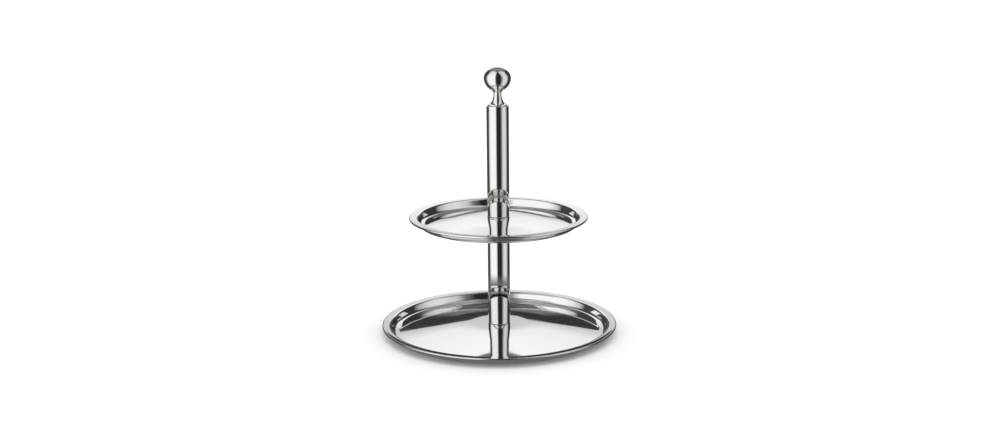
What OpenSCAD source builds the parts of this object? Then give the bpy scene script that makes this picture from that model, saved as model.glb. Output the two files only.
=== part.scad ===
// Two-tier cake stand: two pressed trays on a tube column, drawn together by a
// long threaded rod between a nut under the lower tray and a ball knob on top.
// Z is up, in millimetres. The origin is the centre of the lower tray's resting ring.

/* [Trays] */
// Outer diameter of the lower tray
lower_tray_d = 300; // [240:1:380]
// Outer diameter of the upper tray
upper_tray_d = 226; // [180:1:290]
// Sheet thickness of both trays
sheet_t = 1; // [0.8:0.1:1.3]
// Height of the rim's edge above the underside of the resting ring
rim_h = 12; // [10.5:0.5:18]
// Radius of the rolled bead along the rim's edge
bead_r = 1.4; // [1:0.1:2]
// Width of the flange inside the bead
flange_w = 11; // [7:0.1:14]
// Drop of the flange from its edge to its inner bend
flange_drop = 0.8; // [0.2:0.1:4]
// Width of the steep wall inside the flange
wall_w = 3; // [2:0.1:6]
// Width of a tray's lowest ring, from the wall to the crown
foot_w = 7.5; // [5.5:0.1:14]
// Diameter of the lower tray's seat, to where the lines of seat and crown meet
lower_seat_d = 100; // [70:1:130]
// The same diameter on the upper tray
upper_seat_d = 76; // [72:1:100]
// Width of the gentle bend between seat and crown
seat_bend_w = 36; // [4:1:44]
// Height of the seat above the rim's edge
seat_rise = 0; // [0:0.1:4]
// Radius of the bend between flange and wall, on the lower side
flange_bend_r = 2.5; // [0.5:0.1:3.5]
// Radius of the bend between wall and lowest ring, on the upper side
foot_bend_r = 4.5; // [2:0.5:7]

/* [Column] */
// Outer diameter of both tubes
tube_d = 28; // [22:0.5:40]
// Wall thickness of both tubes
tube_wall = 0.8; // [0.6:0.1:1.5]
// Length of the lower tube
lower_tube_len = 133; // [100:1:200]
// Length of the upper tube
upper_tube_len = 135; // [100:1:200]
// Height of the cap ring that shows above each tube
cap_ring_h = 5.2; // [3:0.2:12]
// Length of a cap's spigot inside its tube
cap_spigot_len = 8; // [5:1:20]
// Length of the bush in the upper tube's foot
bush_len = 10; // [6:1:20]
// Length of the guide above the pocket in the lower tube's foot bush
foot_guide_len = 5; // [3:1:15]
// Height of the groove left between a cap ring and its tube
cap_groove_h = 0.3; // [0.1:0.1:0.6]
// Depth of that groove
cap_groove_depth = 0.3; // [0.1:0.1:0.5]

/* [Knob] */
// Diameter of the knob's ball
ball_d = 34; // [26:0.5:46]
// Height of the ball's top above its widest point
ball_top_h = 13.8; // [10:0.1:17]
// Height of the ball's widest point above the knob's base
ball_z = 34; // [30:0.5:48]
// Height of the neck's narrowest point above the knob's base
neck_z = 14; // [11:0.5:16]
// Diameter of the neck at its narrowest
neck_d = 9.8; // [8.6:0.1:12]
// Diameter of the collar at the knob's base
collar_d = 24.6; // [18:0.2:30]
// Height of the collar's upright edge
collar_h = 1.2; // [0.6:0.1:3]

/* [Tie rod and fasteners] */
// Diameter of the threaded rod
rod_d = 6; // [5:0.5:7]
// Length of rod that screws into the knob
knob_grip = 12; // [8:1:14]
// Room left in the knob above the rod's end
knob_spare = 4; // [2:0.5:5]
// Length of rod below the base nut
rod_tail = 1.4; // [0.5:0.1:1.6]
// Distance across the flats of both nuts
nut_af = 10; // [8.5:0.5:12]
// Height of the nut under the lower tray
base_nut_h = 5; // [3:0.2:5.2]
// Height of the thin nut on top of the lower tray's seat
seat_nut_h = 3.2; // [2:0.2:5]
// Diameter of the wide washer under the lower tray
base_washer_d = 30; // [20:1:60]
// Thickness of the wide washer
base_washer_t = 1.2; // [0.8:0.1:1.6]
// Diameter of the spring washer
lock_washer_d = 11; // [9:0.2:16]
// Thickness of the spring washer
lock_washer_t = 1.6; // [1:0.1:1.8]
// Width of the cut through the spring washer
lock_washer_cut = 1.2; // [0.6:0.1:2]
// Diameter of the washer under the thin nut
seat_washer_d = 12; // [11:0.5:16]
// Thickness of the washer under the thin nut
seat_washer_t = 1; // [0.6:0.1:1.6]

/* [Seals] */
// Thickness of the seals between the tubes and the trays
seal_t = 0.5; // [0.3:0.1:1.5]
// Width left between a seal's edge and the tube's outside
seal_inset = 0.6; // [0.2:0.1:2]
// Width of a seal
seal_w = 3; // [2:0.5:5]
// Thickness of the slip washer under the knob
slip_washer_t = 0.5; // [0.3:0.1:1.5]
// Width left between the slip washer's edge and the collar's edge
slip_washer_inset = 0.8; // [0.2:0.1:3]

/* [Clearances] */
// Radial play of sliding and screwing pieces round the rod
rod_play = 0.06; // [0.02:0.01:0.1]
// Radial play of the fixed washers and tray round the rod
hole_play = 0.2; // [0.1:0.05:0.5]
// Gap between the thin nut and the pocket in the foot bush
pocket_gap = 1; // [0.5:0.1:3]

/* [Hidden] */

$fn = 96;
// Overshoot of a cut past the face it opens
over = 1;
// Steps along a tight bend, along the bend at a tray's seat and along the knob's curves
bend_steps = 8;
seat_steps = 12;
knob_steps = 12;

rod_r = rod_d / 2;
sliding_bore_d = rod_d + 2 * rod_play;
fixed_bore_d = rod_d + 2 * hole_play;
tube_bore_d = tube_d - 2 * tube_wall;
seal_d = tube_d - 2 * seal_inset;
nut_corner_d = nut_af / cos(30);
pocket_d = max(nut_corner_d, seat_washer_d) + 2 * pocket_gap;

// Heights, from the resting ring up
seat_top_z = rim_h + seat_rise;
seat_under_z = seat_top_z - sheet_t;
base_washer_z = seat_under_z - base_washer_t;
lock_washer_z = base_washer_z - lock_washer_t;
base_nut_z = lock_washer_z - base_nut_h;
rod_bottom_z = base_nut_z - rod_tail;
seat_nut_z = seat_top_z + seat_washer_t;
lower_tube_z = seat_top_z + seal_t;
lower_cap_z = lower_tube_z + lower_tube_len;
lower_cap_top_z = lower_cap_z + cap_ring_h;
upper_tray_z = lower_cap_top_z + seal_t - seat_under_z;
upper_seat_top_z = upper_tray_z + seat_top_z;
upper_tube_z = upper_seat_top_z + seal_t;
upper_cap_z = upper_tube_z + upper_tube_len;
upper_cap_top_z = upper_cap_z + cap_ring_h;
knob_z = upper_cap_top_z + slip_washer_t;
rod_top_z = knob_z + knob_grip;
pocket_h = seat_nut_z + seat_nut_h + pocket_gap - lower_tube_z;

// Points along an ellipse's arc about c, from angle a0 to a1
function curve(c, rx, rz, a0, a1, steps) =
    [for (i = [0:steps]) let (a = a0 + (a1 - a0) * i / steps) c + [rx * cos(a), rz * sin(a)]];

function unit(v) = v / norm(v);

// The corner q between p and s, rounded to radius r
function bend(p, q, s, r, steps = bend_steps) =
    let (
        a = unit(p - q),
        b = unit(s - q),
        half = acos(a * b) / 2,
        c = q + unit(a + b) * r / sin(half),
        start = q + a * r / tan(half) - c,
        end = q + b * r / tan(half) - c,
        a0 = atan2(start[1], start[0]),
        turn = atan2(end[1], end[0]) - a0,
        sweep = turn > 180 ? turn - 360 : turn < -180 ? turn + 360 : turn
    )
    curve(c, r, r, a0, a0 + sweep, steps);

// Left-hand normal of the line from p to q
function side(p, q) = unit([p[1] - q[1], q[0] - p[0]]);

// The path moved sideways by t, with mitred corners
function beside(path, t) =
    let (last = len(path) - 1)
    [for (i = [0:last])
        let (
            before = side(path[max(i - 1, 0)], path[max(i, 1)]),
            after = side(path[min(i, last - 1)], path[min(i + 1, last)])
        )
        path[i] + t * (before + after) / (1 + before * after)];

// The upper side of a tray, from the rim's bead to the hole in the middle
function tray_top(tray_d, seat_d) =
    let (
        edge = [tray_d / 2 - bead_r, rim_h],
        flange = [tray_d / 2 - flange_w, rim_h - flange_drop],
        foot_out = [flange[0] - wall_w, sheet_t],
        foot_in = foot_out - [foot_w, 0],
        seat = [seat_d / 2, seat_top_z],
        hole = [fixed_bore_d / 2, seat_top_z],
        crown_slope = atan((seat[1] - foot_in[1]) / (foot_in[0] - seat[0]))
    )
    concat(
        [edge],
        bend(edge, flange, foot_out, flange_bend_r + sheet_t),
        bend(flange, foot_out, foot_in, foot_bend_r),
        [foot_in],
        bend(foot_in, seat, hole, seat_bend_w / 2 / tan(crown_slope / 2), seat_steps),
        [hole]
    );

// A pressed tray with its resting ring's underside at z = 0
module tray(tray_d, seat_d) {
    top = tray_top(tray_d, seat_d);
    bottom = beside(top, sheet_t);
    rotate_extrude() {
        polygon(concat(top, [for (i = [len(bottom) - 1:-1:0]) bottom[i]]));
        translate([tray_d / 2 - bead_r, rim_h - bead_r])
            circle(bead_r);
    }
}

module ring(outer_d, inner_d, h) {
    difference() {
        cylinder(h = h, d = outer_d);
        translate([0, 0, -over])
            cylinder(h = h + 2 * over, d = inner_d);
    }
}

module hex_nut(h) {
    difference() {
        cylinder(h = h, d = nut_corner_d, $fn = 6);
        translate([0, 0, -over])
            cylinder(h = h + 2 * over, d = rod_d);
    }
}

// A ring as wide as the tube on a spigot that plugs it, with a fine groove where they meet
module cap() {
    translate([0, 0, cap_groove_h])
        ring(tube_d, sliding_bore_d, cap_ring_h - cap_groove_h);
    ring(tube_d - 2 * cap_groove_depth, sliding_bore_d, cap_groove_h);
    translate([0, 0, -cap_spigot_len])
        ring(tube_bore_d, sliding_bore_d, cap_spigot_len);
}

module lower_tray() {
    color("silver") tray(lower_tray_d, lower_seat_d);
}

module tie_rod() {
    color("gray")
        translate([0, 0, rod_bottom_z])
            cylinder(h = rod_top_z - rod_bottom_z, d = rod_d);
}

module base_nut() {
    color("darkgray") translate([0, 0, base_nut_z]) hex_nut(base_nut_h);
}

module lock_washer() {
    color("dimgray")
        translate([0, 0, lock_washer_z])
            difference() {
                ring(lock_washer_d, fixed_bore_d, lock_washer_t);
                translate([0, -lock_washer_cut / 2, -over])
                    cube([lock_washer_d, lock_washer_cut, lock_washer_t + 2 * over]);
            }
}

module base_washer() {
    color("darkgray")
        translate([0, 0, base_washer_z])
            ring(base_washer_d, fixed_bore_d, base_washer_t);
}

module seat_washer() {
    color("darkgray")
        translate([0, 0, seat_top_z])
            ring(seat_washer_d, fixed_bore_d, seat_washer_t);
}

module seat_nut() {
    color("darkgray") translate([0, 0, seat_nut_z]) hex_nut(seat_nut_h);
}

module lower_tray_seal() {
    color("white") translate([0, 0, seat_top_z]) ring(seal_d, seal_d - 2 * seal_w, seal_t);
}

module lower_tube() {
    color("silver") translate([0, 0, lower_tube_z]) ring(tube_d, tube_bore_d, lower_tube_len);
}

// Guides the tube on the rod and clears the thin nut below
module lower_foot_bush() {
    color("ivory")
        translate([0, 0, lower_tube_z])
            difference() {
                ring(tube_bore_d, sliding_bore_d, pocket_h + foot_guide_len);
                translate([0, 0, -over])
                    cylinder(h = pocket_h + over, d = pocket_d);
            }
}

module lower_cap() {
    color("silver") translate([0, 0, lower_cap_z]) cap();
}

module upper_tray() {
    color("silver") translate([0, 0, upper_tray_z]) tray(upper_tray_d, upper_seat_d);
}

module upper_tray_under_seal() {
    color("white")
        translate([0, 0, lower_cap_top_z])
            ring(seal_d, seal_d - 2 * seal_w, seal_t);
}

module upper_tray_top_seal() {
    color("white")
        translate([0, 0, upper_seat_top_z])
            ring(seal_d, seal_d - 2 * seal_w, seal_t);
}

module upper_tube() {
    color("silver") translate([0, 0, upper_tube_z]) ring(tube_d, tube_bore_d, upper_tube_len);
}

module upper_foot_bush() {
    color("ivory") translate([0, 0, upper_tube_z]) ring(tube_bore_d, sliding_bore_d, bush_len);
}

module upper_cap() {
    color("silver") translate([0, 0, upper_cap_z]) cap();
}

module slip_washer() {
    color("white")
        translate([0, 0, upper_cap_top_z])
            ring(collar_d - 2 * slip_washer_inset, sliding_bore_d, slip_washer_t);
}

// Collar, concave flare, neck and ball turned in one, bored from below for the rod
module knob() {
    ball_r = ball_d / 2;
    neck_r = neck_d / 2;
    collar_r = collar_d / 2;
    rise = ball_z - neck_z;
    // Radius of the fillet that runs from the upright neck into the ball
    fillet_r = (neck_r ^ 2 + rise ^ 2 - ball_r ^ 2) / (2 * (ball_r - neck_r));
    meet = atan2(rise, neck_r + fillet_r);
    outline = concat(
        [[0, 0], [collar_r, 0]],
        curve([collar_r, neck_z], collar_r - neck_r, neck_z - collar_h, 270, 180, knob_steps),
        curve([neck_r + fillet_r, neck_z], fillet_r, fillet_r, 180, 180 - meet, knob_steps),
        curve([0, ball_z], ball_r, ball_r, -meet, 0, knob_steps),
        curve([0, ball_z], ball_r, ball_top_h, 0, 90, knob_steps)
    );
    color("silver")
        translate([0, 0, knob_z])
            difference() {
                rotate_extrude() polygon(outline);
                translate([0, 0, -over])
                    cylinder(h = knob_grip + knob_spare + over, d = sliding_bore_d);
            }
}

lower_tray();
tie_rod();
base_nut();
lock_washer();
base_washer();
seat_washer();
seat_nut();
lower_tray_seal();
lower_tube();
lower_foot_bush();
lower_cap();
upper_tray();
upper_tray_under_seal();
upper_tray_top_seal();
upper_tube();
upper_foot_bush();
upper_cap();
slip_washer();
knob();
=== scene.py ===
import math

import bpy
from mathutils import Matrix, Vector


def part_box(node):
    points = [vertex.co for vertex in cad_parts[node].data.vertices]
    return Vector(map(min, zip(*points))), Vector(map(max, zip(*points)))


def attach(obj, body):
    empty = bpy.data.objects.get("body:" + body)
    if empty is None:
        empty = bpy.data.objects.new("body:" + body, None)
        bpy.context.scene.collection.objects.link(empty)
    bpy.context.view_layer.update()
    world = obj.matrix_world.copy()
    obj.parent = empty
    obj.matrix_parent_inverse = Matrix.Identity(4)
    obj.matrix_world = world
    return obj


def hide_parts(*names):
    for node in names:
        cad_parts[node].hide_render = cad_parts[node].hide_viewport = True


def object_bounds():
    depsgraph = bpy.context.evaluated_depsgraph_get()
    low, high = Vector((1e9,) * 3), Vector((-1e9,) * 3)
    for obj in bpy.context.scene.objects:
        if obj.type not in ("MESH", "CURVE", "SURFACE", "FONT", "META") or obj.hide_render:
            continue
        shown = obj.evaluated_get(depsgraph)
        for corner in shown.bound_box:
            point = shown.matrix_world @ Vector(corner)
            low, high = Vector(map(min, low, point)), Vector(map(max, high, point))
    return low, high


mm = 0.001
weld = 0.002 * mm  # points nearer to each other than this are merged
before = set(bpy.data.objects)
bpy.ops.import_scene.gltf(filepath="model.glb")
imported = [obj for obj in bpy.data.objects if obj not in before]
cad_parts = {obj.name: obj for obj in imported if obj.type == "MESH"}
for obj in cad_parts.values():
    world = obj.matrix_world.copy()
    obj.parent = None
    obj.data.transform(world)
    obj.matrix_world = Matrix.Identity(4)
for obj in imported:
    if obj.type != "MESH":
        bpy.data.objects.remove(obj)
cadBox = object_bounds()
bpy.ops.object.select_all(action="DESELECT")
print("frame loaded:", len(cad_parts), "nodes")

cameraSetup = {
    "place": (0.0, -1.848, 0.584),  # metres, in front of the stand and a little above its knob
    "pitch": 13.21,  # degrees below level
    "yaw": -0.06,
    "roll": -0.46,
    "lens": 54.0,
}


def addCamera(c):
    bpy.ops.object.camera_add(location=c["place"])
    camera = bpy.context.object
    camera.name = "viewCamera"
    turn = Matrix.Rotation(math.radians(c["yaw"]), 4, "Z") @ Matrix.Rotation(math.radians(90 - c["pitch"]), 4, "X")
    camera.rotation_euler = (turn @ Matrix.Rotation(math.radians(c["roll"]), 4, "Z")).to_euler()
    camera.data.lens = c["lens"]
    camera.data.sensor_width = 36.0
    bpy.context.scene.camera = camera
    bpy.ops.object.select_all(action="DESELECT")


addCamera(cameraSetup)
bpy.context.scene.view_settings.view_transform = "Standard"
print("camera placed")


def srgb(code):
    # a hex colour as the linear values that Blender works in
    values = [int(code[i:i + 2], 16) / 255 for i in (1, 3, 5)]
    return tuple(v / 12.92 if v <= 0.04045 else ((v + 0.055) / 1.055) ** 2.4 for v in values) + (1.0,)


def addNode(tree, kind, settings=None, inputs=None, links=None):
    # one node, its settings, its fixed inputs and what feeds it
    node = tree.nodes.new(kind)
    for name, value in (settings or {}).items():
        setattr(node, name, value)
    for key, value in (inputs or {}).items():
        node.inputs[key].default_value = value
    for key, source in (links or {}).items():
        tree.links.new(source, node.inputs[key])
    return node


def grey(level):
    # a grey as seen on screen, from 0 to 255
    return srgb("#" + 3 * format(level, "02x"))


def setStops(node, stops):
    # stops are (position, grey level)
    ramp = node.color_ramp
    while len(ramp.elements) > 1:
        ramp.elements.remove(ramp.elements[-1])
    for i, (place, level) in enumerate(stops):
        stop = ramp.elements[0] if i == 0 else ramp.elements.new(place)
        stop.position = place
        stop.color = grey(level)


mirrorGain = 1.22  # brightness of all that the polished steel mirrors

studio = {
    "mattLight": 1.22,  # how bright the light on matt surfaces is
    # grey levels round the stand by degrees from the camera's side, positive to the right; low down and high up
    "low": [(-180, 62), (-106, 62), (-98, 190), (-84, 232), (-70, 240), (-24, 238), (-10, 40), (26, 32),
            (38, 110), (48, 190), (66, 212), (84, 205), (96, 170), (106, 50), (180, 50)],
    "high": [(-180, 122), (-150, 124), (-122, 118), (-108, 190), (-96, 225), (-24, 225), (-10, 40), (26, 32),
             (40, 190), (70, 200), (96, 205), (108, 180), (122, 118), (150, 124), (180, 122)],
    # the rest are in degrees above the horizon, or round the column for the width
    "lowToHigh": (38, 50),
    "zenith": 108,
    "zenithEdge": (74, 82),
    # behind the stand, up to the card's foot: the far end of the table, then its shaded edge
    "table": [(-90, 118), (-30, 112), (6, 106), (9, 52), (16, 46)],
    "tableEdge": (12, 18),
    "tableWidth": (20, 34),
    "nadirEdge": (-82, -70),
}


def addStudio(s):
    world = bpy.data.worlds.new("studioWorld")
    bpy.context.scene.world = world
    world.use_nodes = True
    tree = world.node_tree
    tree.nodes.clear()
    way = addNode(tree, "ShaderNodeTexCoord").outputs["Generated"]
    axes = addNode(tree, "ShaderNodeSeparateXYZ", links={0: way}).outputs
    towards = addNode(tree, "ShaderNodeMath", {"operation": "MULTIPLY"}, {1: -1.0}, {0: axes["Y"]}).outputs[0]
    angle = addNode(tree, "ShaderNodeMath", {"operation": "ARCTAN2"}, links={0: axes["X"], 1: towards}).outputs[0]
    height = addNode(tree, "ShaderNodeMath", {"operation": "ARCSINE"}, links={0: axes["Z"]}).outputs[0]

    def ramp(source, half, stops):
        place = addNode(tree, "ShaderNodeMapRange", inputs={1: -half, 2: half}, links={0: source}).outputs[0]
        node = addNode(tree, "ShaderNodeValToRGB", links={0: place})
        setStops(node, [(0.5 + math.radians(a) / half / 2, v) for a, v in stops])
        return node.outputs[0]

    def step(source, edge, low=0.0, high=1.0):
        return addNode(tree, "ShaderNodeMapRange", {"interpolation_type": "SMOOTHSTEP"},
                       {1: math.radians(edge[0]), 2: math.radians(edge[1]), 3: low, 4: high}, {0: source}).outputs[0]

    def mix(factor, first, second):
        return addNode(tree, "ShaderNodeMix", {"data_type": "RGBA"}, links={0: factor, 6: first, 7: second}).outputs[2]

    around = mix(step(height, s["lowToHigh"]), ramp(angle, math.pi, s["low"]), ramp(angle, math.pi, s["high"]))
    # the table's far end lies straight behind; below the horizon it closes under the stand
    turn = addNode(tree, "ShaderNodeMath", {"operation": "ABSOLUTE"}, links={0: angle}).outputs[0]
    table = ramp(height, math.pi / 2, s["table"])
    behind = step(turn, (180 - s["tableWidth"][1], 180 - s["tableWidth"][0]))
    under = step(height, s["tableEdge"], 1.0, 0.0)
    tabled = addNode(tree, "ShaderNodeMath", {"operation": "MULTIPLY"}, links={0: behind, 1: under}).outputs[0]
    nadir = step(height, s["nadirEdge"], 1.0, 0.0)
    covered = addNode(tree, "ShaderNodeMath", {"operation": "MAXIMUM"}, links={0: tabled, 1: nadir}).outputs[0]
    room = mix(covered, around, table)
    zenith = addNode(tree, "ShaderNodeRGB")
    zenith.outputs[0].default_value = grey(s["zenith"])
    seen = mix(step(height, s["zenithEdge"]), room, zenith.outputs[0])
    ray = addNode(tree, "ShaderNodeLightPath").outputs
    mirrored = addNode(tree, "ShaderNodeBackground", {}, {1: mirrorGain}, {0: seen})
    plain = addNode(tree, "ShaderNodeBackground", {}, {0: srgb("#ffffff"), 1: s["mattLight"]})
    white = addNode(tree, "ShaderNodeBackground", {}, {0: srgb("#ffffff"), 1: 1.0})
    forMatt = addNode(tree, "ShaderNodeMixShader",
                      links={0: ray["Is Diffuse Ray"], 1: mirrored.outputs[0], 2: plain.outputs[0]})
    both = addNode(tree, "ShaderNodeMixShader",
                   links={0: ray["Is Camera Ray"], 1: forMatt.outputs[0], 2: white.outputs[0]})
    addNode(tree, "ShaderNodeOutputWorld", links={0: both.outputs[0]})


addStudio(studio)

floorSetup = {"size": 30.0, "colour": "#fdfdfc", "below": 0.02 * mm}


def addFloor(f):
    bpy.ops.mesh.primitive_plane_add(size=f["size"], location=(0, 0, cadBox[0].z - f["below"]))
    floor = bpy.context.object
    floor.name = "paleFloor"
    material = bpy.data.materials.new("palePaper")
    material.use_nodes = True
    shader = material.node_tree.nodes["Principled BSDF"]
    shader.inputs["Base Color"].default_value = srgb(f["colour"])
    shader.inputs["Roughness"].default_value = 1.0
    shader.inputs["Specular IOR Level"].default_value = 0.0
    floor.data.materials.append(material)
    floor.visible_glossy = False  # the polished steel mirrors the studio alone
    bpy.ops.object.select_all(action="DESELECT")


addFloor(floorSetup)

def newLight(name):
    # an empty material for a light that only the polished steel sees
    material = bpy.data.materials.new(name)
    material.use_nodes = True
    material.node_tree.nodes.clear()
    return material, material.node_tree, addNode(material.node_tree, "ShaderNodeTexCoord").outputs["Object"]


def stageLight(light, material, distance, full, clear, inputs=None, links=None):
    # the light fades out between two distances; inputs and links give its colour
    tree = material.node_tree
    shown = addNode(tree, "ShaderNodeMapRange", {"interpolation_type": "SMOOTHSTEP"},
                    {1: full, 2: clear, 3: 1.0, 4: 0.0}, {0: distance}).outputs[0]
    glow = addNode(tree, "ShaderNodeEmission", {}, {**(inputs or {}), 1: mirrorGain}, links)
    nothing = addNode(tree, "ShaderNodeBsdfTransparent")
    both = addNode(tree, "ShaderNodeMixShader", links={0: shown, 1: nothing.outputs[0], 2: glow.outputs[0]})
    addNode(tree, "ShaderNodeOutputMaterial", links={0: both.outputs[0]})
    light.data.materials.append(material)
    light.visible_camera = False
    light.visible_diffuse = False
    light.visible_shadow = False
    bpy.ops.object.select_all(action="DESELECT")


cardSetup = {"far": 0.86, "width": 0.84, "low": 0.262, "high": 0.95, "soft": 0.06,
             "levels": [(0.0, 190), (0.07, 205), (0.17, 228), (0.6, 240), (0.9, 215), (1.0, 150)]}


def addCard(c):
    # bright backdrop at its true distance behind the stand
    middle = (c["low"] + c["high"]) / 2
    bpy.ops.mesh.primitive_plane_add(size=1, location=(0, c["far"], middle), rotation=(math.radians(90), 0, 0))
    card = bpy.context.object
    card.name = "backdropCard"
    card.scale = (c["width"], c["high"] - c["low"], 1)
    bpy.ops.object.transform_apply(location=True, rotation=True, scale=True)
    material, tree, place = newLight("litBackdrop")
    axes = addNode(tree, "ShaderNodeSeparateXYZ", links={0: place}).outputs
    up = addNode(tree, "ShaderNodeMapRange", inputs={1: c["low"], 2: c["high"]}, links={0: axes["Z"]}).outputs[0]
    level = addNode(tree, "ShaderNodeValToRGB", links={0: up})
    setStops(level, c["levels"])
    aside = addNode(tree, "ShaderNodeMath", {"operation": "ABSOLUTE"}, links={0: axes["X"]}).outputs[0]
    stageLight(card, material, aside, c["width"] / 2 - c["soft"], c["width"] / 2, links={0: level.outputs[0]})


addCard(cardSetup)

patchSetup = {"full": 0.165, "clear": 0.31, "level": 100, "below": 0.01 * mm, "sides": 96}


def addPatch(p):
    # painted shadow: a grey glowing disc stands in for the part of the table in the stand's own shade, which the steel
    # mirrors as grey
    bpy.ops.mesh.primitive_circle_add(vertices=p["sides"], radius=p["clear"], fill_type="NGON",
                                      location=(0, 0, cadBox[0].z - p["below"]))
    patch = bpy.context.object
    patch.name = "paintedTableShadow"
    material, tree, place = newLight("paintedShadowGrey")
    reach = addNode(tree, "ShaderNodeVectorMath", {"operation": "LENGTH"}, links={0: place}).outputs["Value"]
    stageLight(patch, material, reach, p["full"], p["clear"], {0: grey(p["level"])})


addPatch(patchSetup)
print("studio and floor ready")


def arcPoints(centre, radius, start, end, steps):
    # points (radius from the axis, height) along an arc, angles in degrees
    return [(centre[0] + radius * math.cos(math.radians(start + (end - start) * i / steps)),
             centre[1] + radius * math.sin(math.radians(start + (end - start) * i / steps))) for i in range(steps + 1)]


def roundedCorner(p, q, s, radius, steps):
    # the corner q between p and s, as an arc
    p, q, s = Vector(p), Vector(q), Vector(s)
    a, b = (p - q).normalized(), (s - q).normalized()
    half = a.angle(b) / 2
    centre = q + (a + b).normalized() * radius / math.sin(half)
    start = q + a * radius / math.tan(half) - centre
    end = q + b * radius / math.tan(half) - centre
    a0 = math.degrees(math.atan2(start.y, start.x))
    turn = (math.degrees(math.atan2(end.y, end.x)) - a0 + 180) % 360 - 180
    return arcPoints(centre, radius, a0, a0 + turn, steps)


def turned(name, outline, steps, gap=0.0):
    # extrudes an outline from one vertex and spins it round the column; a gap is left open either side of +X
    r, z = outline[0]
    bpy.ops.mesh.primitive_plane_add(size=mm, location=(r, 0, z))
    piece = bpy.context.object
    piece.name = name
    bpy.ops.object.transform_apply(location=True, rotation=False, scale=False)
    bpy.ops.object.mode_set(mode="EDIT")
    bpy.ops.mesh.select_all(action="SELECT")
    bpy.ops.mesh.merge(type="CENTER")
    for nextR, nextZ in outline[1:]:
        bpy.ops.mesh.extrude_region_move(TRANSFORM_OT_translate={"value": (nextR - r, 0, nextZ - z)})
        r, z = nextR, nextZ
    bpy.ops.mesh.select_all(action="SELECT")
    if gap:
        bpy.ops.mesh.edge_face_add()
        bpy.ops.transform.rotate(value=-gap, orient_axis="Z", center_override=(0, 0, 0))
    bpy.ops.mesh.spin(steps=steps, angle=2 * math.pi - 2 * gap, center=(0, 0, 0), axis=(0, 0, 1),
                      use_auto_merge=False)
    bpy.ops.mesh.select_all(action="SELECT")
    bpy.ops.mesh.remove_doubles(threshold=weld)
    bpy.ops.mesh.normals_make_consistent(inside=False)
    bpy.ops.object.mode_set(mode="OBJECT")
    return piece


def selectOnly(piece):
    bpy.ops.object.select_all(action="DESELECT")
    piece.select_set(True)
    bpy.context.view_layer.objects.active = piece


def applyModifier(piece, kind, settings):
    bpy.ops.object.modifier_add(type=kind)
    modifier = piece.modifiers[-1]
    for name, value in settings.items():
        setattr(modifier, name, value)
    bpy.ops.object.modifier_apply(modifier=modifier.name)


def finishPiece(piece, body, nodes, material, sharp=40):
    # sharp is the angle in degrees from which an edge is shaded hard
    selectOnly(piece)
    bpy.ops.object.shade_smooth_by_angle(angle=math.radians(sharp))
    piece.data.materials.clear()
    piece.data.materials.append(material)
    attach(piece, body)
    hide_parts(*nodes)
    bpy.ops.object.select_all(action="DESELECT")


millimetre = 1000.0  # texture coordinates are in metres; this turns them into millimetres


def newMaterial(name, colour, roughness, metallic=0.0):
    material = bpy.data.materials.new(name)
    material.use_nodes = True
    shader = material.node_tree.nodes["Principled BSDF"]
    shader.inputs["Base Color"].default_value = srgb(colour)
    shader.inputs["Metallic"].default_value = metallic
    shader.inputs["Roughness"].default_value = roughness
    return material, material.node_tree, shader


def addNoise(tree, place, size, inputs):
    # noise with features of about this size in millimetres
    return addNode(tree, "ShaderNodeTexNoise", inputs={"Scale": millimetre / size, **inputs},
                   links={"Vector": place}).outputs["Fac"]


def addRange(tree, source, inputs):
    return addNode(tree, "ShaderNodeMapRange", inputs=inputs, links={0: source}).outputs[0]


def addBump(tree, depth, links):
    # depth in millimetres
    return addNode(tree, "ShaderNodeBump", inputs={"Strength": 1.0, "Distance": depth * mm}, links=links).outputs[0]


def addTint(tree, factor, first, second):
    return addNode(tree, "ShaderNodeMix", {"data_type": "RGBA"}, {6: srgb(first), 7: srgb(second)},
                   {0: factor}).outputs[2]


def grainCoordinates(tree, across, along, turn):
    # coordinates in millimetres that follow a turned piece: out from the column, up it and round it
    place = addNode(tree, "ShaderNodeTexCoord").outputs["Object"]
    axes = addNode(tree, "ShaderNodeSeparateXYZ", links={0: place}).outputs
    flat = addNode(tree, "ShaderNodeVectorMath", {"operation": "MULTIPLY"}, {1: (1, 1, 0)}, {0: place}).outputs[0]
    reach = addNode(tree, "ShaderNodeVectorMath", {"operation": "LENGTH"}, links={0: flat}).outputs["Value"]
    angle = addNode(tree, "ShaderNodeMath", {"operation": "ARCTAN2"}, links={0: axes["Y"], 1: axes["X"]}).outputs[0]
    parts = []
    for source, scale in ((reach, across * millimetre), (axes["Z"], along * millimetre), (angle, turn)):
        parts.append(addNode(tree, "ShaderNodeMath", {"operation": "MULTIPLY"}, {1: scale}, {0: source}).outputs[0])
    return place, addNode(tree, "ShaderNodeCombineXYZ", links={0: parts[0], 1: parts[1], 2: parts[2]}).outputs[0]


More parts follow.
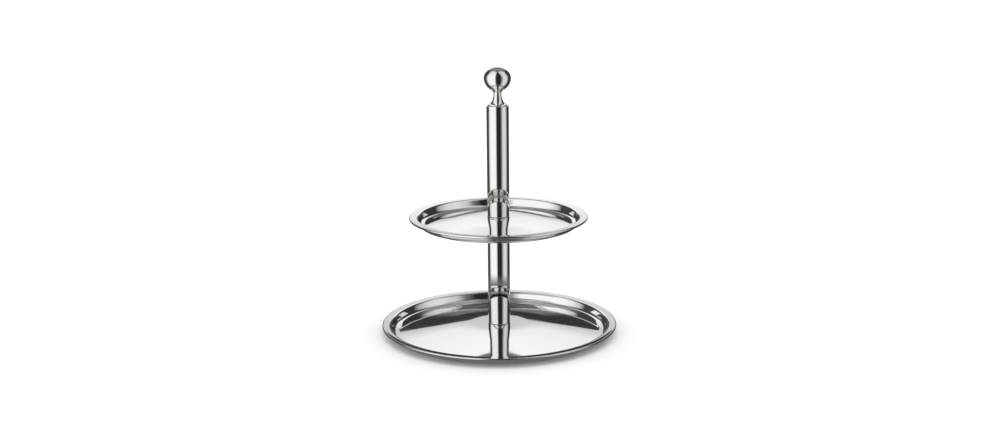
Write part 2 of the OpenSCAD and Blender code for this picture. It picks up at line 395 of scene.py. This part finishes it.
def makePolished(name, p):
    # a mirror that still shows a sheet's faint waves, fine polishing lines, hairline scratches and a few finger marks
    material, tree, shader = newMaterial(name, p["colour"], p["roughness"], 1.0)
    place, grain = grainCoordinates(tree, p["across"], p["along"], p["turn"])
    lines = addNode(tree, "ShaderNodeTexNoise", inputs={"Scale": 1.0, "Detail": 3.0},
                    links={"Vector": grain}).outputs["Fac"]
    waves = addNoise(tree, place, p["waveSize"], {"Detail": 1.0})
    marks = addNoise(tree, place, p["markSize"], {"Detail": 4.0, "Roughness": 0.6})
    swirl = addNode(tree, "ShaderNodeMapping", inputs={"Rotation": p["scratchTurn"], "Scale": p["scratchStretch"]},
                    links={"Vector": place}).outputs[0]
    hair = addNoise(tree, swirl, p["scratchGap"], {"Detail": 2.0})
    scratched = addRange(tree, hair, {1: 0.64, 2: 0.72, 3: 0.0, 4: p["scratchRoughness"]})
    marked = addRange(tree, marks, {1: 0.45, 2: 0.75, 3: p["roughness"], 4: p["markRoughness"]})
    fine = addRange(tree, lines, {3: 0.0, 4: p["lineRoughness"]})
    both = addNode(tree, "ShaderNodeMath", {"operation": "ADD"}, links={0: scratched, 1: marked}).outputs[0]
    total = addNode(tree, "ShaderNodeMath", {"operation": "ADD"}, links={0: both, 1: fine}).outputs[0]
    tree.links.new(total, shader.inputs["Roughness"])
    waved = addBump(tree, p["waveDepth"], {"Height": waves})
    lined = addBump(tree, p["lineDepth"], {"Height": lines, "Normal": waved})
    tree.links.new(lined, shader.inputs["Normal"])
    return material


polish = {
    "colour": "#f1f0ee",
    "roughness": 0.018,
    # polishing lines that run round the piece: lines in each millimetre outwards and upwards, and in each radian
    "across": 2.2,
    "along": 2.2,
    "turn": 3.0,
    "lineRoughness": 0.03,
    "lineDepth": 0.00006,
    "waveSize": 38.0,
    "waveDepth": 0.035,
    "markSize": 26.0,
    "markRoughness": 0.06,
    "scratchGap": 0.9,
    "scratchStretch": (1.0, 0.04, 1.0),
    "scratchTurn": (0.6, 0.5, 0.9),
    "scratchRoughness": 0.10,
}
# pressed and buffed sheet: the trays
traySteel = makePolished("buffedStainlessSheet", polish)
# drawn tube, polished along its length: lines run up the column
tubeSteel = makePolished("polishedStainlessTube",
                         dict(polish, across=0.5, along=0.03, turn=34.0, waveSize=60.0, waveDepth=0.02))
# turned solid stainless: cap rings and knob
turnedSteel = makePolished("turnedStainlessBar",
                           dict(polish, across=3.0, along=3.0, turn=1.0, waveDepth=0.004, waveSize=20.0))


def makeZinc(p):
    # bright zinc plating: a satin grey metal with a bluish tinge, mottled by the bath
    material, tree, shader = newMaterial("zincPlatedSteel", p["colour"], p["roughness"], 1.0)
    place = addNode(tree, "ShaderNodeTexCoord").outputs["Object"]
    mottle = addNoise(tree, place, p["mottleSize"], {"Detail": 5.0})
    tint = addNode(tree, "ShaderNodeValToRGB", links={0: mottle})
    tint.color_ramp.elements[0].color = srgb(p["dull"])
    tint.color_ramp.elements[1].color = srgb(p["colour"])
    tint.color_ramp.elements[0].position = 0.3
    tint.color_ramp.elements[1].position = 0.65
    tree.links.new(tint.outputs[0], shader.inputs["Base Color"])
    rough = addRange(tree, mottle, {1: 0.3, 2: 0.7, 3: p["roughness"] + 0.12, 4: p["roughness"]})
    tree.links.new(rough, shader.inputs["Roughness"])
    grit = addNoise(tree, place, p["gritSize"], {"Detail": 2.0})
    bump = addBump(tree, p["gritDepth"], {"Height": grit})
    tree.links.new(bump, shader.inputs["Normal"])
    return material


zincSteel = makeZinc({"colour": "#c3c7ca", "dull": "#9aa0a6", "roughness": 0.26, "mottleSize": 2.4,
                      "gritSize": 0.12, "gritDepth": 0.004})


def makeNylon(p):
    # natural nylon: warm off-white, a little light passes under the skin, faint flow marks from the mould
    material, tree, shader = newMaterial("naturalNylon", p["colour"], p["roughness"])
    shader.inputs["Subsurface Weight"].default_value = p["depthWeight"]
    shader.inputs["Subsurface Radius"].default_value = (1.0, 0.8, 0.6)
    shader.inputs["Subsurface Scale"].default_value = p["depth"] * mm
    place = addNode(tree, "ShaderNodeTexCoord").outputs["Object"]
    flow = addNoise(tree, place, p["flowSize"], {"Detail": 3.0, "Distortion": 0.8})
    tint = addTint(tree, flow, p["colour"], p["shade"])
    tree.links.new(tint, shader.inputs["Base Color"])
    rough = addRange(tree, flow, {3: p["roughness"] - 0.08, 4: p["roughness"] + 0.1})
    tree.links.new(rough, shader.inputs["Roughness"])
    bump = addBump(tree, p["flowDepth"], {"Height": flow})
    tree.links.new(bump, shader.inputs["Normal"])
    return material


naturalNylon = makeNylon({"colour": "#ece8dc", "shade": "#dcd6c6", "roughness": 0.42, "depthWeight": 0.25,
                          "depth": 1.2, "flowSize": 7.0, "flowDepth": 0.02})


def makeSilicone(p):
    # clear silicone: soft, slightly milky, lets most light through and looks dusty where it has been handled
    material, tree, shader = newMaterial("clearSilicone", p["colour"], p["roughness"])
    shader.inputs["Transmission Weight"].default_value = p["clear"]
    shader.inputs["IOR"].default_value = 1.41
    place = addNode(tree, "ShaderNodeTexCoord").outputs["Object"]
    dust = addNoise(tree, place, p["dustSize"], {"Detail": 6.0})
    rough = addRange(tree, dust, {1: 0.35, 2: 0.7, 3: p["roughness"] - 0.1, 4: p["roughness"] + 0.18})
    tree.links.new(rough, shader.inputs["Roughness"])
    tint = addTint(tree, dust, p["colour"], p["shade"])
    tree.links.new(tint, shader.inputs["Base Color"])
    return material


clearSilicone = makeSilicone({"colour": "#e9ecec", "shade": "#d3d8d9", "roughness": 0.4, "clear": 0.55,
                              "dustSize": 1.6})
print("materials ready")

traySection = {
    "sheet": 1.0 * mm,
    "bead": 1.4 * mm,  # radius of the rolled edge
    "curlEnd": -165,  # degrees, where the rolled edge stops
    "flange": 11.0 * mm,
    "flangeDrop": 0.2 * mm,
    "wall": 3.0 * mm,
    "foot": 7.5 * mm,
    "flangeBend": 3.5 * mm,
    "footBend": 4.5 * mm,
    "crownBend": 14.0 * mm,  # radius where the resting ring turns up into the crown
    "seatBend": 36.0 * mm,  # width of the gentle bend between crown and seat
    "hole": 3.2 * mm,
    "seats": {"lower_tray": 50.0 * mm, "upper_tray": 38.0 * mm},  # radius where the crown would meet the seat
    "seatSteps": 24,
    "levelSteps": 4,
    "crownSteps": 12,
    "crownBendSteps": 5,
    "bendSteps": 12,
    "beadSteps": 20,
    "turnSteps": 256,
}


def straight(start, end, steps):
    # points between two points, both left out
    return [(start[0] + (end[0] - start[0]) * i / steps, start[1] + (end[1] - start[1]) * i / steps)
            for i in range(1, steps)]


def trayOutline(t, outer, base, rim, seat):
    # upper side of the sheet from the hole outwards, then round the rolled edge; seat and rim are level
    beadCentre = Vector((outer - t["bead"], rim - t["bead"]))
    flange = Vector((outer - t["flange"], rim - t["flangeDrop"]))
    footOut = Vector((flange.x - t["wall"], base + t["sheet"]))
    footIn = Vector((footOut.x - t["foot"], footOut.y))
    hole, corner = Vector((t["hole"], rim)), Vector((seat, rim))
    crownSlope = math.atan((rim - footIn.y) / (footIn.x - seat))
    seatTurn = roundedCorner(hole, corner, footIn, t["seatBend"] / 2 / math.tan(crownSlope / 2), t["seatSteps"])
    footTurn = roundedCorner(corner, footIn, footOut, t["crownBend"], t["crownBendSteps"])
    # the flange meets the rolled edge where the two have the same slope
    reach = beadCentre - flange
    flangeTurn = 90 + math.degrees(reach.angle(Vector((1, 0))) + math.asin(t["bead"] / reach.length))
    top = beadCentre + t["bead"] * Vector((math.cos(math.radians(flangeTurn)), math.sin(math.radians(flangeTurn))))
    return ([tuple(hole)] + straight(hole, seatTurn[0], t["levelSteps"]) + seatTurn
            + straight(seatTurn[-1], footTurn[0], t["crownSteps"]) + footTurn
            + roundedCorner(footIn, footOut, flange, t["footBend"], t["bendSteps"])
            + roundedCorner(footOut, flange, top, t["flangeBend"], t["bendSteps"])
            + arcPoints(beadCentre, t["bead"], flangeTurn, t["curlEnd"], t["beadSteps"]))


def makeTray(t, node, body):
    low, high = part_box(node)
    outline = trayOutline(t, (high.x - low.x) / 2, low.z, high.z, t["seats"][node])
    tray = turned(node + "Sheet", outline, t["turnSteps"])
    selectOnly(tray)
    applyModifier(tray, "SOLIDIFY", {"thickness": t["sheet"], "offset": -1.0, "use_even_offset": True})
    finishPiece(tray, body, [node], traySteel)
    print(node, "built")


makeTray(traySection, "lower_tray", "base")
makeTray(traySection, "upper_tray", "upper_tier")

tubeSetup = {"wall": 0.8 * mm, "sides": 160, "edge": 0.15 * mm}


def makeTube(t, node, body):
    low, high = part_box(node)
    bpy.ops.mesh.primitive_cylinder_add(vertices=t["sides"], radius=(high.x - low.x) / 2, depth=high.z - low.z,
                                        end_fill_type="NOTHING", location=(0, 0, (low.z + high.z) / 2))
    tube = bpy.context.object
    tube.name = node + "Polished"
    bpy.ops.object.transform_apply(location=True, rotation=False, scale=False)
    applyModifier(tube, "SOLIDIFY", {"thickness": t["wall"], "offset": -1.0})
    applyModifier(tube, "BEVEL", {"width": t["edge"], "segments": 2, "angle_limit": math.radians(60)})
    finishPiece(tube, body, [node], tubeSteel)
    print(node, "built")


makeTube(tubeSetup, "lower_tube", "lower_column")
makeTube(tubeSetup, "upper_tube", "upper_column")

capSetup = {"ring": 5.2 * mm, "groove": 0.3 * mm, "bore": 3.06 * mm, "edge": 0.35 * mm, "wall": 0.8 * mm,
            "steps": 160}


def makeCap(c, node, body):
    low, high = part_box(node)
    outer = (high.x - low.x) / 2
    seam = high.z - c["ring"]
    spigot = outer - c["wall"]
    outline = ([(c["bore"], low.z), (spigot - c["edge"], low.z), (spigot, low.z + c["edge"]), (spigot, seam),
                (outer - c["groove"], seam), (outer - c["groove"], seam + c["groove"])]
               + arcPoints((outer - c["edge"] / 2, seam + c["groove"] + c["edge"] / 2), c["edge"] / 2, -90, 0, 4)
               + arcPoints((outer - c["edge"], high.z - c["edge"]), c["edge"], 0, 90, 6)
               + [(c["bore"], high.z), (c["bore"], low.z)])
    cap = turned(node + "Turned", outline, c["steps"])
    finishPiece(cap, body, [node], turnedSteel)
    print(node, "built")


makeCap(capSetup, "lower_cap", "lower_column")
makeCap(capSetup, "upper_cap", "upper_column")

knobSetup = {
    "ballHeight": 34.0 * mm,  # of the widest point above the base
    "neckHeight": 14.0 * mm,
    "neck": 4.9 * mm,
    "collar": 12.3 * mm,
    "collarEdge": 1.2 * mm,
    "bore": 3.06 * mm,
    "boreDepth": 16.0 * mm,
    "boreTip": 1.2 * mm,  # the drill's cone beyond the bore's full width
    "soft": 0.3 * mm,
    "softSteps": 4,
    "flareSteps": 18,
    "filletSteps": 14,
    "ballSteps": 26,
    "topSteps": 24,
    "steps": 160,
}


def makeKnob(k):
    low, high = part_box("knob")
    ball = (high.x - low.x) / 2
    middle = low.z + k["ballHeight"]
    crown = high.z - middle
    rise = k["ballHeight"] - k["neckHeight"]
    fillet = (k["neck"] ** 2 + rise ** 2 - ball ** 2) / (2 * (ball - k["neck"]))
    meet = math.degrees(math.atan2(rise, k["neck"] + fillet))
    flareR, flareZ = k["collar"] - k["neck"], k["neckHeight"] - k["collarEdge"]
    # the flare is a quarter of an ellipse; its first points make way for the collar's rounded edge
    flareTurns = [math.pi / 2 * (1 - i / k["flareSteps"]) for i in range(2, k["flareSteps"] + 1)]
    flare = [(k["collar"] - flareR * math.cos(a), low.z + k["neckHeight"] - flareZ * math.sin(a)) for a in flareTurns]
    topTurns = [math.pi / 2 * i / k["topSteps"] for i in range(1, k["topSteps"] + 1)]
    top = [(ball * math.cos(a), middle + crown * math.sin(a)) for a in topTurns]
    edge = k["collar"] - k["soft"]
    outline = ([(0.0, low.z + k["boreDepth"] + k["boreTip"]), (k["bore"], low.z + k["boreDepth"]), (k["bore"], low.z)]
               + arcPoints((edge, low.z + k["soft"]), k["soft"], -90, 0, k["softSteps"])
               + arcPoints((edge, low.z + k["collarEdge"] - k["soft"]), k["soft"], 0, 80, k["softSteps"] + 1)
               + flare
               + arcPoints((k["neck"] + fillet, low.z + k["neckHeight"]), fillet, 180, 180 - meet,
                           k["filletSteps"])[1:]
               + arcPoints((0, middle), ball, -meet, 0, k["ballSteps"])[1:]
               + top)
    outline[-1] = (0.0, high.z)
    knob = turned("ballKnob", outline, k["steps"])
    finishPiece(knob, "knob", ["knob"], turnedSteel)
    print("knob built")


makeKnob(knobSetup)

rodSetup = {"pitch": 1.0 * mm, "depth": 0.61 * mm, "crest": 0.125 * mm, "root": 0.25 * mm, "steps": 16}


def makeRod(r):
    low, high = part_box("tie_rod")
    outer = (high.x - low.x) / 2
    core = outer - r["depth"]
    start = low.z - 1.5 * r["pitch"]
    ramp = (r["pitch"] - r["crest"] - r["root"]) / 2
    bpy.ops.mesh.primitive_plane_add(size=mm, location=(core, 0, start))
    rod = bpy.context.object
    rod.name = "threadedRod"
    bpy.ops.object.transform_apply(location=True, rotation=False, scale=False)
    bpy.ops.object.mode_set(mode="EDIT")
    bpy.ops.mesh.select_all(action="SELECT")
    bpy.ops.mesh.merge(type="CENTER")
    for across, up in ((0.0, r["root"]), (r["depth"], ramp), (0.0, r["crest"]), (-r["depth"], ramp)):
        bpy.ops.mesh.extrude_region_move(TRANSFORM_OT_translate={"value": (across, 0, up)})
    bpy.ops.object.mode_set(mode="OBJECT")
    turns = math.ceil((high.z - low.z) / r["pitch"]) + 3
    applyModifier(rod, "SCREW", {"screw_offset": r["pitch"], "iterations": turns, "steps": r["steps"],
                                 "render_steps": r["steps"], "use_merge_vertices": True, "merge_threshold": weld})
    bpy.ops.object.mode_set(mode="EDIT")
    for height, up in ((low.z, -1), (high.z, 1)):
        bpy.ops.mesh.select_all(action="SELECT")
        bpy.ops.mesh.bisect(plane_co=(0, 0, height), plane_no=(0, 0, up), clear_outer=True, use_fill=True)
    bpy.ops.mesh.select_all(action="SELECT")
    bpy.ops.mesh.remove_doubles(threshold=weld)
    bpy.ops.mesh.normals_make_consistent(inside=False)
    bpy.ops.object.mode_set(mode="OBJECT")
    finishPiece(rod, "base", ["tie_rod"], zincSteel, 30)
    print("tie rod built")


makeRod(rodSetup)

nutSetup = {
    "flats": 10.0 * mm,
    "bore": 2.75 * mm,
    "sink": 3.25 * mm,
    "land": 0.96,  # width of the flat face against the flats
    "slope": 30,
    "over": 0.4 * mm,
    "steps": 64,
}


def makeNut(n, node):
    low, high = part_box(node)
    corner = n["flats"] / 2 / math.cos(math.radians(30))
    land = n["flats"] / 2 * n["land"]
    reach = corner + n["over"]
    drop = (reach - land) * math.tan(math.radians(n["slope"]))
    bpy.ops.mesh.primitive_cylinder_add(vertices=6, radius=corner, depth=high.z - low.z,
                                        rotation=(0, 0, math.radians(30)), location=(0, 0, (low.z + high.z) / 2))
    nut = bpy.context.object
    nut.name = node + "Chamfered"
    bpy.ops.object.transform_apply(location=True, rotation=True, scale=False)
    lens = turned("cornerCutter", [(0.0, low.z), (land, low.z), (reach, low.z + drop), (reach, high.z - drop),
                                   (land, high.z), (0.0, high.z)], n["steps"])
    sink = n["sink"] - n["bore"]
    wide = n["sink"] + n["over"]
    bore = turned("boreCutter", [(0.0, low.z - n["over"]), (wide, low.z - n["over"]), (n["bore"], low.z + sink),
                                 (n["bore"], high.z - sink), (wide, high.z + n["over"]),
                                 (0.0, high.z + n["over"])], n["steps"])
    for cutter, way in ((lens, "INTERSECT"), (bore, "DIFFERENCE")):
        selectOnly(nut)
        applyModifier(nut, "BOOLEAN", {"operation": way, "object": cutter, "solver": "EXACT"})
        selectOnly(cutter)
        bpy.ops.object.delete()
    finishPiece(nut, "base", [node], zincSteel, 25)
    print(node, "built")


makeNut(nutSetup, "base_nut")
makeNut(nutSetup, "seat_nut")

washerSetup = {"bore": 3.2 * mm, "round": 0.15 * mm, "steps": 96}


def ringOutline(inner, outer, bottom, top, soft):
    # a closed section with rounded corners
    corners = ((outer - soft, bottom + soft), (outer - soft, top - soft), (inner + soft, top - soft),
               (inner + soft, bottom + soft))
    points = []
    for i, corner in enumerate(corners):
        points += arcPoints(corner, soft, 90 * i - 90, 90 * i, 4)
    return points + [(outer - soft, bottom)]


def makeRing(node, body, material, inner, soft, steps):
    low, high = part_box(node)
    piece = turned(node + "Ring", ringOutline(inner, (high.x - low.x) / 2, low.z, high.z, soft), steps)
    finishPiece(piece, body, [node], material)
    print(node, "built")


for washerNode in ("base_washer", "seat_washer"):
    makeRing(washerNode, "base", zincSteel, washerSetup["bore"], washerSetup["round"],
             washerSetup["steps"])

springSetup = {"bore": 3.2 * mm, "cut": 1.2 * mm, "round": 0.15 * mm, "steps": 60}


def makeSpringWasher(w):
    low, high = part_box("lock_washer")
    outer = (high.y - low.y) / 2
    gap = math.asin(w["cut"] / 2 / outer)
    outline = ringOutline(w["bore"], outer, low.z, high.z, w["round"])
    piece = turned("springWasher", outline[:-1], w["steps"], gap)
    finishPiece(piece, "base", ["lock_washer"], zincSteel)
    print("spring washer built")


makeSpringWasher(springSetup)

bushSetup = {"bore": 3.06 * mm, "pocket": 6.77 * mm, "pocketDepth": 4.7 * mm, "edge": 0.4 * mm,
             "slipEdge": 0.12 * mm, "steps": 96}


def makeFootBush(b):
    low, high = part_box("lower_foot_bush")
    outer = (high.x - low.x) / 2
    ceiling = low.z + b["pocketDepth"]
    outline = [(b["pocket"], low.z), (outer - b["edge"], low.z), (outer, low.z + b["edge"]),
               (outer, high.z - b["edge"]), (outer - b["edge"], high.z), (b["bore"] + b["edge"], high.z),
               (b["bore"], high.z - b["edge"]),
               (b["bore"], ceiling), (b["pocket"], ceiling), (b["pocket"], low.z)]
    bush = turned("lowerFootBush", outline, b["steps"])
    finishPiece(bush, "lower_column", ["lower_foot_bush"], naturalNylon)
    print("lower foot bush built")


makeFootBush(bushSetup)
makeRing("upper_foot_bush", "upper_column", naturalNylon, bushSetup["bore"], bushSetup["edge"],
         bushSetup["steps"])
makeRing("slip_washer", "knob_travel", naturalNylon, bushSetup["bore"], bushSetup["slipEdge"],
         bushSetup["steps"])

sealSetup = {"width": 3.0 * mm, "round": 0.18 * mm, "steps": 160}


def makeSeal(s, node, body):
    low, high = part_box(node)
    makeRing(node, body, clearSilicone, (high.x - low.x) / 2 - s["width"], s["round"], s["steps"])


makeSeal(sealSetup, "lower_tray_seal", "base")
makeSeal(sealSetup, "upper_tray_under_seal", "upper_tier")
makeSeal(sealSetup, "upper_tray_top_seal", "upper_tier")
